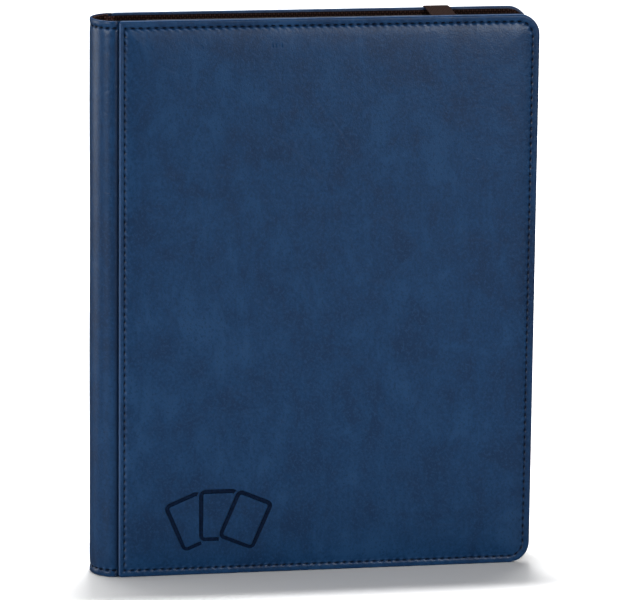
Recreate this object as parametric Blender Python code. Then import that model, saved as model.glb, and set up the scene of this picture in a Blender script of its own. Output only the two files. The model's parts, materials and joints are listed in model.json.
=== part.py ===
"""Trading card binder: padded leatherette covers, a soft hollow spine, pocket leaves and an elastic strap.

Metres, +Z up. The binder stands on its bottom edges, closed. X runs from the spine (-) to the fore edge
(+), the front cover faces -Y, and the origin is under the middle of the binder.
A moving piece's parent is an empty on its joint's axis.
"""

import math

import bmesh
import bpy
from mathutils import Matrix, Vector

# Overall size.
HEIGHT = 0.320
WIDTH = 0.254
THICKNESS = 0.036
SPINE_BULGE = 0.015

FOLD_X = -WIDTH / 2 + SPINE_BULGE
FORE_X = WIDTH / 2
BACK_Y = THICKNESS / 2

# Covers. Depths are measured inwards from the crown of the padded face, insets from the outline.
COVER_CORNER_RADIUS = 0.012
FOLD_CORNER_RADIUS = 0.0015
BORDER_DEPTH = 0.0012
LEATHER = 0.0010
COVER_DEPTH = 0.0047
FOAM_INSET = 0.0087
FOAM_DEPTHS = (0.00130, 0.00225)
BOARD_INSET = 0.0012
BOARD_DEPTHS = (0.0024, 0.0040)
LINING_DEPTHS = (0.0042, 0.0047)

# A cover's leather, as (inset, depth): over the pad's shoulder, down to the border, round the edge
# and in under it.
PANEL_OUTSIDE = (
    (0.0120, 0.0),
    (0.0085, 0.00025),
    (0.0063, 0.00080),
    (0.0054, BORDER_DEPTH),
    (0.0012, BORDER_DEPTH),
    (0.00035, BORDER_DEPTH + 0.00035),
    (0.0, BORDER_DEPTH + 0.0012),
    (0.0, COVER_DEPTH - 0.0005),
    (0.0003, COVER_DEPTH),
    (LEATHER, COVER_DEPTH),
)
PANEL_INSIDE = (
    (LEATHER, BORDER_DEPTH + LEATHER),
    (0.0074, BORDER_DEPTH + LEATHER),
    (0.0084, LEATHER + 0.00015),
)

# Seams.
SEAM_INSET = 0.0040
FOLD_SEAM_INSET = 0.0030
THREAD_WIDTH = 0.0006
THREAD_HEIGHT = 0.00025
THREAD_GAP = 0.0001

# Spine: half an ellipse from crease to crease.
SPINE_REACH = SPINE_BULGE - 0.0005
SPINE_HALF = 0.0160
SPINE_LAYER_GAP = 0.0002
SPINE_STIFFENER = 0.0010
SPINE_LINING = 0.0005
CREASE_GAP = 0.0003
INNER_LAYER_GAP = 0.0030
SPINE_EDGE_INSET = 0.0014
HINGE_STRIP_Y = (0.0134, 0.0145)

# Leaves: a backing sheet between two pocket films.
LEAF_COUNT = 20
FRONT_LEAVES = 8
LEAF_PITCH = 0.0012
SHEET = 0.0004
FILM = 0.00015
FILM_GAP = 0.0001
LEAF_THICKNESS = SHEET + 2 * (FILM + FILM_GAP)
LEAF_SPAN = 0.2286
LEAF_FORE_X = FOLD_X + LEAF_SPAN
LEAF_Z = (0.004, 0.316)
LEAF_CORNER_RADIUS = 0.003
REAR_LEAF_X = FOLD_X + 0.0020
LAST_LEAF_Y = 0.0122
FIRST_LEAF_Y = -0.01165
FIRST_LEAF_TURN = 160.0
LEAF_TURN_STEP = 14.0
FIRST_HINGE_X = FOLD_X + 0.0040
LEAF_CLEARANCE = 0.00012

# Pockets: three columns and three rows of side-loading mouths for standard trading cards.
CARD_HEIGHT = 0.0889
POCKET_COLUMNS = 3
POCKET_ROWS = 3
BINDING_MARGIN = 0.0190
MOUTH_WIDTH = 0.0010
MOUTH_LENGTH = CARD_HEIGHT + 0.0011

# Page binding.
BINDING_X = (FOLD_X + 0.0012, FOLD_X + 0.0017)
BINDING_FLANGE_END = FOLD_X + 0.0140
BINDING_FLANGE_Y = (0.0129, 0.0132)
TAB_TO_HINGE = 0.0023

# Elastic strap.
STRAP_WIDTH = 0.0145
STRAP = 0.0007
STRAP_X = 0.0735
STRAP_SKEW = 0.0045
STRAP_FRONT_Y = -0.00215
STRAP_BEND = 0.00125
STRAP_OVER_LEAF = 0.0010
TAIL_Y = 0.0176
TAIL_END_Y = 0.0129
STRAP_END_Y = 0.0126
TAIL_LENGTH = 0.0052
TAIL_TOP_Z = HEIGHT + 0.0002 + STRAP / 2
TAIL_BOTTOM_Z = 0.0004
NOTCH_DEPTH = 0.0009
NOTCH_MARGIN = 0.0004

ARC_STEPS = 7
SPINE_STEPS = 22
BEND_STEPS = 4

LEATHERETTE = ("navy_leatherette", (0.014, 0.040, 0.102, 1.0), 0.48)
THREAD = ("navy_thread", (0.0015, 0.007, 0.026, 1.0), 0.7)
FOAM = ("pale_foam", (0.60, 0.58, 0.52, 1.0), 0.95)
BOARD = ("grey_board", (0.25, 0.23, 0.20, 1.0), 0.9)
WOVEN = ("brown_black_lining", (0.017, 0.008, 0.008, 1.0), 0.85)
ELASTIC = ("dark_elastic", (0.024, 0.016, 0.015, 1.0), 0.8)
PAGE = ("black_page", (0.006, 0.006, 0.007, 1.0), 0.6)
CLEAR_FILM = ("clear_film", (0.80, 0.82, 0.84, 0.35), 0.15)


def clear_scene():
    for old in list(bpy.data.objects):
        bpy.data.objects.remove(old, do_unlink=True)


def material_of(look):
    name, color, roughness = look
    found = bpy.data.materials.get(name)
    if found:
        return found
    made = bpy.data.materials.new(name)
    made.use_nodes = True
    shader = made.node_tree.nodes["Principled BSDF"]
    shader.inputs["Base Color"].default_value = color
    shader.inputs["Roughness"].default_value = roughness
    shader.inputs["Alpha"].default_value = color[3]
    return made


def pivot(name, x, y):
    """An empty on a joint's axis, which its moving pieces are parented to."""
    made = bpy.data.objects.new(name, None)
    made.location = (x, y, 0)
    bpy.context.collection.objects.link(made)
    return made


def add_piece(name, bm, look, parent=None):
    """A named object from a bmesh in world coordinates, with its origin on its parent empty."""
    bmesh.ops.recalc_face_normals(bm, faces=bm.faces)
    mesh = bpy.data.meshes.new(name)
    bm.to_mesh(mesh)
    bm.free()
    mesh.materials.append(material_of(look))
    made = bpy.data.objects.new(name, mesh)
    bpy.context.collection.objects.link(made)
    if parent:
        mesh.transform(Matrix.Translation(-parent.location))
        made.parent = parent
    return made


def loft(loops, ring=False):
    """A closed body through loops of equally many points: capped at both ends, or joined into a ring."""
    bm = bmesh.new()
    rows = [[bm.verts.new(point) for point in loop] for loop in loops]
    pairs = list(zip(rows, rows[1:]))
    if ring:
        pairs.append((rows[-1], rows[0]))
    for first, second in pairs:
        for i in range(len(first)):
            j = (i + 1) % len(first)
            bm.faces.new((first[i], first[j], second[j], second[i]))
    if not ring:
        bm.faces.new(rows[0][::-1])
        bm.faces.new(rows[-1])
    return bm


def rounded_rectangle(x0, x1, z0, z1, low_radius, high_radius):
    """Points (x, z) round a rectangle, with one radius at the corners on x0 and another at those on x1."""
    points = []
    corners = (
        (x0, z0, 1, 1, low_radius, 180),
        (x1, z0, -1, 1, high_radius, 270),
        (x1, z1, -1, -1, high_radius, 0),
        (x0, z1, 1, -1, low_radius, 90),
    )
    for x, z, side_x, side_z, radius, start in corners:
        steps = ARC_STEPS if radius > FOLD_CORNER_RADIUS else 2
        for k in range(steps + 1):
            angle = math.radians(start + 90 * k / steps)
            points.append(
                (
                    x + side_x * radius + radius * math.cos(angle),
                    z + side_z * radius + radius * math.sin(angle),
                )
            )
    return points


def cover_outline(inset, fold_inset=None):
    """Points (x, z) round a cover, moved in by inset, and at the fold by fold_inset if that differs."""
    fold = inset if fold_inset is None else fold_inset
    fore_radius = max(COVER_CORNER_RADIUS - inset, 2 * FOLD_CORNER_RADIUS)
    fold_radius = max(FOLD_CORNER_RADIUS - inset, FOLD_CORNER_RADIUS / 3)
    return rounded_rectangle(
        FOLD_X + fold, FORE_X - inset, inset, HEIGHT - inset, fold_radius, fore_radius
    )


def cover_loop(side, inset, depth, fold_inset=None):
    """A cover outline in space. side is -1 for the front cover and 1 for the back."""
    y = side * (THICKNESS / 2 - depth)
    return [(x, y, z) for x, z in cover_outline(inset, fold_inset)]


def slab(points, y0, y1):
    """A flat plate: an (x, z) outline from y0 to y1."""
    return loft([[(x, y, z) for x, z in points] for y in (y0, y1)])


def box(x0, x1, y0, y1, z0, z1):
    return slab([(x0, z0), (x1, z0), (x1, z1), (x0, z1)], y0, y1)


def panel_leather(side):
    """The leather skin of a cover: a crowned face, a lower border and edges turned in round the board."""
    return loft([cover_loop(side, inset, depth) for inset, depth in PANEL_OUTSIDE + PANEL_INSIDE])


def cover_layer(side, inset, depths):
    y0, y1 = (side * (THICKNESS / 2 - depth) for depth in depths)
    return slab(cover_outline(inset), y0, y1)


def seam_thread(side):
    """The run of thread that stands just proud of a cover's border, all the way round."""
    low = BORDER_DEPTH - THREAD_GAP
    high = low - THREAD_HEIGHT
    half = THREAD_WIDTH / 2
    section = ((-half, high), (half, high), (half, low), (-half, low))
    loops = [
        cover_loop(side, SEAM_INSET + shift, depth, FOLD_SEAM_INSET + shift)
        for shift, depth in section
    ]
    return loft(loops, ring=True)


def build_cover(side, word, parent):
    add_piece(f"{word}_foam_pad", cover_layer(side, FOAM_INSET, FOAM_DEPTHS), FOAM, parent)
    add_piece(f"{word}_board", cover_layer(side, BOARD_INSET, BOARD_DEPTHS), BOARD, parent)
    add_piece(f"{word}_lining", cover_layer(side, BOARD_INSET, LINING_DEPTHS), WOVEN, parent)
    add_piece(f"{word}_seam_thread", seam_thread(side), THREAD, parent)
    return add_piece(f"{word}_panel_leather", panel_leather(side), LEATHERETTE, parent)


def cut_strap_notch(leather):
    """A shallow notch in the back cover's bottom edge, into which the strap presses and lies flush."""
    half = STRAP_WIDTH / 2 + NOTCH_MARGIN
    cutter_box = box(
        STRAP_X - half,
        STRAP_X + half,
        BACK_Y - COVER_DEPTH - LEATHER,
        BACK_Y + LEATHER,
        -LEATHER,
        NOTCH_DEPTH,
    )
    cutter = add_piece("strap_notch_cutter", cutter_box, LEATHERETTE)
    cutter.hide_render = True
    cutter.display_type = "WIRE"
    cut = leather.modifiers.new("strap_notch", "BOOLEAN")
    cut.operation = "DIFFERENCE"
    cut.object = cutter


def spine_arc(reach, half, crease_gap):
    """Points (x, y) along half an ellipse from the front crease to the back one, kept crease_gap off both."""
    start = math.asin(crease_gap / reach)
    points = []
    for k in range(SPINE_STEPS + 1):
        angle = start + (math.pi - 2 * start) * k / SPINE_STEPS
        points.append((FOLD_X - reach * math.sin(angle), -half * math.cos(angle)))
    return points


def spine_layer(depth, thickness, crease_gap, z0, z1):
    """A layer of the spine, depth in from its outer face."""
    outside = spine_arc(SPINE_REACH - depth, SPINE_HALF - depth, crease_gap)
    inside = spine_arc(
        SPINE_REACH - depth - thickness, SPINE_HALF - depth - thickness, crease_gap
    )
    outline = outside + inside[::-1]
    return loft([[(x, y, z) for x, y in outline] for z in (z0, z1)])


def build_spine(parent):
    leather = spine_layer(0, LEATHER, CREASE_GAP, 0, HEIGHT)
    add_piece("spine_leather", leather, LEATHERETTE, parent)
    low, high = SPINE_EDGE_INSET, HEIGHT - SPINE_EDGE_INSET
    depth = LEATHER + SPINE_LAYER_GAP
    stiffener = spine_layer(depth, SPINE_STIFFENER, INNER_LAYER_GAP, low, high)
    add_piece("spine_stiffener", stiffener, BOARD, parent)
    depth += SPINE_STIFFENER + SPINE_LAYER_GAP
    lining = spine_layer(depth, SPINE_LINING, INNER_LAYER_GAP, low, high)
    add_piece("spine_lining", lining, WOVEN, parent)
    for word, z in (("top", HEIGHT - SEAM_INSET), ("bottom", SEAM_INSET)):
        thread = spine_layer(
            -THREAD_GAP - THREAD_HEIGHT,
            THREAD_HEIGHT,
            2 * CREASE_GAP,
            z - THREAD_WIDTH / 2,
            z + THREAD_WIDTH / 2,
        )
        add_piece(f"spine_{word}_thread", thread, THREAD, parent)
    x0 = FOLD_X - INNER_LAYER_GAP + CREASE_GAP
    x1 = FOLD_X - CREASE_GAP
    for word, side in (("front", -1), ("back", 1)):
        y0, y1 = (side * y for y in HINGE_STRIP_Y)
        strip = box(x0, x1, y0, y1, low, high)
        add_piece(f"{word}_hinge_strip", strip, WOVEN, parent)


def leaf_y(number):
    """Middle of a leaf. The strap lies in the wider space between the front and the rear leaves."""
    if number <= FRONT_LEAVES:
        return FIRST_LEAF_Y + (number - 1) * LEAF_PITCH
    return LAST_LEAF_Y - (LEAF_COUNT - number) * LEAF_PITCH


def leaf_hinge_x(number):
    """Where a front leaf's margin bends: far enough behind the leaf in front to turn past it."""
    x = FIRST_HINGE_X
    for later in range(2, number + 1):
        turn = math.radians(FIRST_LEAF_TURN - (later - 1) * LEAF_TURN_STEP)
        needed = LEAF_THICKNESS + LEAF_CLEARANCE
        x += (needed - LEAF_PITCH * math.cos(turn)) / math.sin(turn)
    return x


def leaf_outline(x0):
    low_z, high_z = LEAF_Z
    straight = FOLD_CORNER_RADIUS / 3
    return rounded_rectangle(x0, LEAF_FORE_X, low_z, high_z, straight, LEAF_CORNER_RADIUS)


def pocket_mouths():
    """The slits (x0, x1, z0, z1) at the binding side of each pocket."""
    column = (LEAF_FORE_X - FOLD_X - BINDING_MARGIN) / POCKET_COLUMNS
    row = (LEAF_Z[1] - LEAF_Z[0]) / POCKET_ROWS
    for i in range(POCKET_COLUMNS):
        x0 = FOLD_X + BINDING_MARGIN + i * column + MOUTH_WIDTH
        for j in range(POCKET_ROWS):
            middle = LEAF_Z[0] + (j + 0.5) * row
            yield x0, x0 + MOUTH_WIDTH, middle - MOUTH_LENGTH / 2, middle + MOUTH_LENGTH / 2


def pocket_film(x0, y0, y1):
    """A pocket film with its nine mouths cut through."""
    outlines = [leaf_outline(x0)]
    for a, b, low, high in pocket_mouths():
        outlines.append([(a, low), (b, low), (b, high), (a, high)])
    bm = bmesh.new()
    edges = []
    for outline in outlines:
        verts = [bm.verts.new((x, y0, z)) for x, z in outline]
        edges += [bm.edges.new(pair) for pair in zip(verts, verts[1:] + verts[:1])]
    filled = bmesh.ops.triangle_fill(bm, use_beauty=False, use_dissolve=False, edges=edges)
    faces = [item for item in filled["geom"] if isinstance(item, bmesh.types.BMFace)]
    grown = bmesh.ops.extrude_face_region(bm, geom=faces, use_keep_orig=True)
    moved = [item for item in grown["geom"] if isinstance(item, bmesh.types.BMVert)]
    bmesh.ops.translate(bm, verts=moved, vec=Vector((0, y1 - y0, 0)))
    return bm


def build_front_leaf(number):
    """A turning leaf: a backing sheet with a pocket film on each face."""
    x, y = leaf_hinge_x(number), leaf_y(number)
    hinge = pivot(f"leaf_{number:02d}_hinge", x, y)
    half = LEAF_THICKNESS / 2
    sheet = slab(leaf_outline(x), y - SHEET / 2, y + SHEET / 2)
    add_piece(f"leaf_{number:02d}_sheet", sheet, PAGE, hinge)
    front = pocket_film(x, y - half, y - half + FILM)
    add_piece(f"leaf_{number:02d}_front_pockets", front, CLEAR_FILM, hinge)
    back = pocket_film(x, y + half - FILM, y + half)
    add_piece(f"leaf_{number:02d}_back_pockets", back, CLEAR_FILM, hinge)


def build_rear_leaf(number):
    """A leaf that the strap holds against the back cover, with its films welded on."""
    y, half = leaf_y(number), LEAF_THICKNESS / 2
    whole = slab(leaf_outline(REAR_LEAF_X), y - half, y + half)
    add_piece(f"leaf_{number:02d}", whole, PAGE)


def page_binding():
    """The binding tape: the front leaves' fixed margins as tabs, and a flange sewn to the back cover."""
    tape, tape_face = BINDING_X
    flange_low, flange_high = BINDING_FLANGE_Y
    outline = [(tape, leaf_y(1) - SHEET / 2), (tape_face, leaf_y(1) - SHEET / 2)]
    for number in range(2, FRONT_LEAVES + 1):
        end = leaf_hinge_x(number) - TAB_TO_HINGE
        y0, y1 = leaf_y(number) - SHEET / 2, leaf_y(number) + SHEET / 2
        outline += [(tape_face, y0), (end, y0), (end, y1), (tape_face, y1)]
    outline += [(tape_face, flange_low), (BINDING_FLANGE_END, flange_low)]
    outline += [(BINDING_FLANGE_END, flange_high), (tape, flange_high)]
    return loft([[(x, y, z) for x, y in outline] for z in LEAF_Z])


def bend(centre_y, centre_z, radius, start, end):
    """Points (y, z) round a bend of the strap's middle line. In degrees, 0 is +Y and 90 is +Z."""
    points = []
    for k in range(BEND_STEPS + 1):
        angle = math.radians(start + (end - start) * k / BEND_STEPS)
        points.append((centre_y + radius * math.cos(angle), centre_z + radius * math.sin(angle)))
    return points


def band(path, middle_x):
    """A flat band of elastic along a path of (y, z) points. middle_x gives its middle at each y."""
    loops = []
    for k, (y, z) in enumerate(path):
        before, after = path[max(k - 1, 0)], path[min(k + 1, len(path) - 1)]
        along = Vector((after[0] - before[0], after[1] - before[1])).normalized()
        off = Vector((-along.y, along.x)) * STRAP / 2
        x = middle_x(y)
        x0, x1 = x - STRAP_WIDTH / 2, x + STRAP_WIDTH / 2
        near, far = (y - off.x, z - off.y), (y + off.x, z + off.y)
        loops.append([(x0, *near), (x1, *near), (x1, *far), (x0, *far)])
    return loft(loops)


def strap_skew(y):
    """The strap leans towards the fore edge as it comes forward over the leaves."""
    along = (STRAP_END_Y - y) / (STRAP_END_Y - STRAP_FRONT_Y)
    return STRAP_X + STRAP_SKEW * along


def moving_strap():
    """The part of the strap that lifts off: over the rear leaves, down in front of them and back under."""
    top = LEAF_Z[1] + STRAP_OVER_LEAF
    bottom = LEAF_Z[0] - STRAP_OVER_LEAF
    centre_y = STRAP_FRONT_Y + STRAP_BEND
    path = [(STRAP_END_Y, TAIL_TOP_Z)]
    path += bend(centre_y, top - STRAP_BEND, STRAP_BEND, 90, 180)
    path += bend(centre_y, bottom + STRAP_BEND, STRAP_BEND, 180, 270)
    path += [(STRAP_END_Y, TAIL_BOTTOM_Z)]
    return band(path, strap_skew)


def strap_tail(edge_z, inward):
    """An end of the strap, sewn on the back cover and wrapped over its edge. inward points to the middle."""
    radius = STRAP_BEND
    centre_y, centre_z = TAIL_Y - radius, edge_z + inward * radius
    end_z = edge_z + inward * TAIL_LENGTH
    path = [(TAIL_Y, end_z)]
    path += bend(centre_y, centre_z, radius, 0, -inward * 90)
    path += [(TAIL_END_Y, edge_z)]
    return band(path, lambda _: STRAP_X)


def build():
    clear_scene()
    back_crease = pivot("back_crease", FOLD_X - CREASE_GAP, SPINE_HALF)
    front_crease = pivot("front_crease", FOLD_X - CREASE_GAP, -SPINE_HALF)

    back_leather = build_cover(1, "back", None)
    cut_strap_notch(back_leather)
    build_cover(-1, "front", front_crease)
    build_spine(back_crease)

    add_piece("page_binding", page_binding(), WOVEN)
    for number in range(1, LEAF_COUNT + 1):
        if number <= FRONT_LEAVES:
            build_front_leaf(number)
        else:
            build_rear_leaf(number)

    add_piece("elastic_strap", moving_strap(), ELASTIC, pivot("strap_slide", STRAP_X, 0))
    add_piece("strap_top_tail", strap_tail(TAIL_TOP_Z, -1), ELASTIC)
    add_piece("strap_bottom_tail", strap_tail(TAIL_BOTTOM_Z, 1), ELASTIC)


build()
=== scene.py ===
import itertools
import json
import math

import bmesh
import bpy
import numpy as np
from mathutils import Matrix, Vector, noise


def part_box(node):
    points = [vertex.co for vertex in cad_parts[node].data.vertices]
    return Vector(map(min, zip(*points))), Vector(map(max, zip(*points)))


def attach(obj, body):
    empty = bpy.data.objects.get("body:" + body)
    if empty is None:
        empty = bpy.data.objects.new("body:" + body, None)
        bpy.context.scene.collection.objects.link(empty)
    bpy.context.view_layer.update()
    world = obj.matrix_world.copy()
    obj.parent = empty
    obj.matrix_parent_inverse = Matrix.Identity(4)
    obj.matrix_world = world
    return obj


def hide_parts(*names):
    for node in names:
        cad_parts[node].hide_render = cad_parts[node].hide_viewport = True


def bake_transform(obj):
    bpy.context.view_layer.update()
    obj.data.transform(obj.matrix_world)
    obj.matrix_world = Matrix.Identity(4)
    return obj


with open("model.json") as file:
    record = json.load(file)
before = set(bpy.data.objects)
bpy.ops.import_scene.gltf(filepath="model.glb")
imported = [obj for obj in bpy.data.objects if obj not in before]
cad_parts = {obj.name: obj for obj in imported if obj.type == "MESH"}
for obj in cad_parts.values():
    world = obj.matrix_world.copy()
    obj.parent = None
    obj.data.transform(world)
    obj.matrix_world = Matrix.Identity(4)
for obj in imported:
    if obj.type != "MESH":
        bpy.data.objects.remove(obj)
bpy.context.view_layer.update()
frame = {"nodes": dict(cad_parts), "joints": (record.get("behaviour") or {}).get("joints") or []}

MM = 0.001

# Places from the frame.
panel_low, panel_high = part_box("front_panel_leather")
FOLD_X, FORE_X = panel_low.x, panel_high.x
HEIGHT = panel_high.z
HALF_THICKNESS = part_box("back_panel_leather")[1].y
JOINTS = {joint["name"]: joint for joint in frame["joints"]}
FRONT_LEAVES = sum(name.startswith("leaf_") for name in JOINTS)
LEAF_COUNT = FRONT_LEAVES + sum(name[:5] == "leaf_" and name[5:].isdigit() for name in frame["nodes"])

# Covers and seams. Depths are measured inwards from the crown of the padded face.
CORNER_RADIUS = 12 * MM
SEAM_INSET = 4 * MM
FOLD_SEAM_INSET = 3 * MM
STITCH_PITCH = 4.4 * MM
STITCH_LENGTH = 2.6 * MM
STITCH_RADIUS = 0.38 * MM
LINING_INSET = 1.3

# The elastic strap, and the notch that it lies in under the back cover.
tail_low, tail_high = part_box("strap_top_tail")
run_low, run_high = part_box("elastic_strap")
STRAP_X = (tail_low.x + tail_high.x) / 2
STRAP_WIDTH = tail_high.x - tail_low.x
STRAP_THICKNESS = 0.7 * MM
OVER_STRAP = 0.15 * MM
NOTCH_DEPTH = 0.95 * MM
NOTCH_RAMP = 1.2 * MM


# ---------------- camera, light and floor


AZIMUTH, ELEVATION, ROLL = math.radians(10.22), math.radians(12.54), math.radians(0.60)
DISTANCE, LENS = 2.6338, 265.9
AIM_RIGHT, AIM_UP = 5.87 * MM, 5.1 * MM


def add_camera():
    """Seen from the left of the front and from above, through a long lens."""
    level = math.cos(ELEVATION)
    forward = Vector((math.sin(AZIMUTH) * level, math.cos(AZIMUTH) * level, -math.sin(ELEVATION)))
    right = Vector((math.cos(AZIMUTH), -math.sin(AZIMUTH), 0))
    up = right.cross(forward)
    middle = Vector(((FOLD_X + FORE_X) / 2, 0, HEIGHT / 2))
    turned_right = right * math.cos(ROLL) + up * math.sin(ROLL)
    turned_up = up * math.cos(ROLL) - right * math.sin(ROLL)
    data = bpy.data.cameras.new("camera")
    data.sensor_width = 36
    data.lens = LENS
    camera = bpy.data.objects.new("camera", data)
    bpy.context.scene.collection.objects.link(camera)
    location = middle - turned_right * AIM_RIGHT - turned_up * AIM_UP - forward * DISTANCE
    rotation = Matrix((turned_right, turned_up, -forward)).transposed()
    camera.matrix_world = Matrix.Translation(location) @ rotation.to_4x4()
    bpy.context.scene.camera = camera


def add_area_light(name, location, size, power, target=(0, 0, HEIGHT / 2), glossy=True):
    data = bpy.data.lights.new(name, "AREA")
    data.shape = "RECTANGLE"
    data.size, data.size_y = size
    data.energy = power
    light = bpy.data.objects.new(name, data)
    bpy.context.scene.collection.objects.link(light)
    light.location = location
    light.rotation_euler = (Vector(target) - Vector(location)).to_track_quat("-Z", "Y").to_euler()
    light.visible_camera = False
    light.visible_glossy = glossy
    return light


def add_lights():
    """The overhead light makes the contact shadow, and the front one the shine on the upper shoulder."""
    add_area_light("overhead_softbox", (0.04, 0.228, 1.90), (0.3, 0.10), 45, glossy=False)
    add_area_light("key_softbox", (-2.6, -1.9, 0.68), (0.8, 0.9), 41)
    add_area_light("left_softbox", (-1.65, 0.55, 0.38), (1.0, 1.0), 13)
    add_area_light("front_softbox", (0.50, -1.25, 0.525), (0.33, 0.16), 7.0)
    add_area_light("low_fill", (0, -0.50, 0.06), (0.35, 0.06), 0.9, (0, 0, 0.06), glossy=False)
    backdrop = add_area_light("backdrop_softbox", (0, 3.0, 3.2), (5.0, 3.0), 150, (0, 2.6, 0))
    backdrop.data.spread = math.radians(100)
    world = bpy.data.worlds.new("studio")
    world.use_nodes = True
    background = world.node_tree.nodes["Background"]
    background.inputs["Color"].default_value = (0.95, 0.97, 1.0, 1)
    background.inputs["Strength"].default_value = 0.09
    bpy.context.scene.world = world
    bpy.context.scene.view_settings.view_transform = "Standard"


def add_floor():
    """A pale floor just under the object, left out of reflections, where it would wash out the flat cover."""
    reach = 12.0
    corners = [(-reach, -reach, 0), (reach, -reach, 0), (reach, reach, 0), (-reach, reach, 0)]
    mesh = bpy.data.meshes.new("floor")
    mesh.from_pydata(corners, [], [(0, 1, 2, 3)])
    floor = bpy.data.objects.new("floor", mesh)
    bpy.context.scene.collection.objects.link(floor)
    floor.location.z = -0.3 * MM
    floor.visible_glossy = False
    paint = Nodes("floor_white")
    paint.set(Base_Color=(0.90, 0.90, 0.90), Roughness=0.9)
    mesh.materials.append(paint.material)


# ---------------- materials


class Nodes:
    """Writes a material's nodes. Patterns read the rest position, so that they stay put in a pose."""

    def __init__(self, name):
        self.material = bpy.data.materials.new(name)
        self.material.use_nodes = True
        self.tree = self.material.node_tree
        self.shader = self.tree.nodes["Principled BSDF"]
        self.position = self.add("Attribute", "Vector", {}, attribute_name="rest")

    def feed(self, value, socket):
        """Links another node's output to a socket, or puts a constant on it."""
        if isinstance(value, bpy.types.NodeSocket):
            self.tree.links.new(value, socket)
        else:
            socket.default_value = (*value, 1) if socket.type == "RGBA" else value

    def add(self, kind, output, inputs, **settings):
        """One output of a new node with these settings and inputs."""
        node = self.tree.nodes.new("ShaderNode" + kind)
        for key, value in settings.items():
            setattr(node, key, value)
        for key, value in inputs.items():
            self.feed(value, node.inputs[key])
        return node.outputs[output]

    def set(self, **values):
        """Values of the shader itself. Underscores stand for spaces."""
        for key, value in values.items():
            self.feed(value, self.shader.inputs[key.replace("_", " ")])

    def axes(self):
        return [self.add("SeparateXYZ", axis, {0: self.position}) for axis in "XYZ"]

    def scaled(self, scale):
        return self.add("VectorMath", 0, {0: self.position, 1: scale}, operation="MULTIPLY")

    def noise(self, scale, detail=3.0, roughness=0.5, distortion=0.0, vector=None, output="Fac"):
        inputs = {"Vector": vector or self.position, "Scale": scale, "Detail": detail}
        inputs |= {"Roughness": roughness, "Distortion": distortion}
        return self.add("TexNoise", output, inputs)

    def warped(self, scale, amount):
        """The rest position, pushed about by a coarse noise, so that lines drawn with it wander."""
        push = {0: self.noise(scale, output="Color"), 1: (amount, amount, amount), 2: self.position}
        return self.add("VectorMath", 0, push, operation="MULTIPLY_ADD")

    def cells(self, scale, feature="F1", vector=None):
        inputs = {"Vector": vector or self.position, "Scale": scale}
        return self.add("TexVoronoi", "Distance", inputs, feature=feature)

    def math(self, operation, *values):
        return self.add("Math", 0, dict(enumerate(values)), operation=operation)

    def wave(self, value, length):
        """A sine of a distance, with this wavelength."""
        return self.math("SINE", self.math("MULTIPLY", value, 2 * math.pi / length))

    def span(self, value, low, high, to_low=0.0, to_high=1.0, kind="SMOOTHSTEP"):
        inputs = {"Value": value, "From Min": low, "From Max": high, "To Min": to_low, "To Max": to_high}
        return self.add("MapRange", "Result", inputs, interpolation_type=kind)

    def mix(self, factor, first, second):
        return self.add("Mix", 2, {0: factor, 6: first, 7: second}, data_type="RGBA")

    def bump(self, height, distance, strength, **under):
        inputs = {"Height": height, "Distance": distance, "Strength": strength}
        return self.add("Bump", "Normal", inputs | under)


def leatherette_material(name="navy_leatherette", pressed=False):
    """Two-tone navy leatherette: cloudy blotches, fine pebble grain, faint creases and a satin coat."""
    n = Nodes(name)
    clouds = n.noise(42, 6, 0.66, 0.5)
    streaks = n.noise(1, 5, 0.65, 1.0, n.scaled((75, 75, 30)))
    broad = n.noise(11, 3, 0.5)
    specks = n.noise(620, 3, 0.7)
    tone = n.math("MULTIPLY_ADD", clouds, 0.45, n.math("MULTIPLY", streaks, 0.35))
    tone = n.math("MULTIPLY_ADD", broad, 0.20, tone)
    dark, middle, light = (0.0014, 0.0158, 0.0500), (0.0024, 0.0215, 0.0640), (0.0058, 0.0302, 0.0815)
    color = n.mix(n.span(tone, 0.42, 0.51), dark, middle)
    color = n.mix(n.span(tone, 0.50, 0.60), color, light)
    color = n.mix(n.span(specks, 0.48, 0.66, 0.0, 0.75), color, light)
    color = n.mix(n.span(specks, 0.34, 0.48, 0.80, 0.0), color, dark)
    creases = n.cells(30, "DISTANCE_TO_EDGE", n.warped(26, 0.018))
    crease_mask = n.span(n.noise(14, 2), 0.48, 0.62)
    crease = n.math("MULTIPLY", n.span(creases, 0.0, 0.045, 1.0, 0.0), crease_mask)
    color = n.mix(n.math("MULTIPLY", crease, 0.22), color, light)
    # Painted light: a point attribute mixes in a painted highlight colour above 0 and a painted shade colour
    # below 0.
    wear = n.add("Attribute", "Fac", {}, attribute_name="wear")
    painted_highlight, painted_shade = (0.038, 0.074, 0.155), (0.0004, 0.0035, 0.014)
    color = n.mix(n.span(wear, 0.0, 1.0, kind="LINEAR"), color, painted_highlight)
    color = n.mix(n.span(wear, -1.0, 0.0, 1.0, 0.0, kind="LINEAR"), color, painted_shade)
    if pressed:
        color = n.mix(n.span(specks, 0.35, 0.7), (0.0003, 0.0032, 0.012), (0.0010, 0.0070, 0.024))
    pores = n.math("MULTIPLY", n.noise(1900, 2, 0.55), 0.5)
    grain = n.math("ADD", n.span(n.cells(1050), 0.0, 0.7), pores)
    normal = n.bump(grain, 0.06 * MM, 0.55)
    normal = n.bump(n.noise(170, 4, 0.6, 0.3), 0.22 * MM, 0.6, Normal=normal)
    normal = n.bump(crease, -0.08 * MM, 0.5, Normal=normal)
    n.set(Base_Color=color, Roughness=n.span(tone, 0.40, 0.60, 0.39, 0.32), Normal=normal)
    n.set(Specular_IOR_Level=0.10 if pressed else 0.23)
    return n.material


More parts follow.
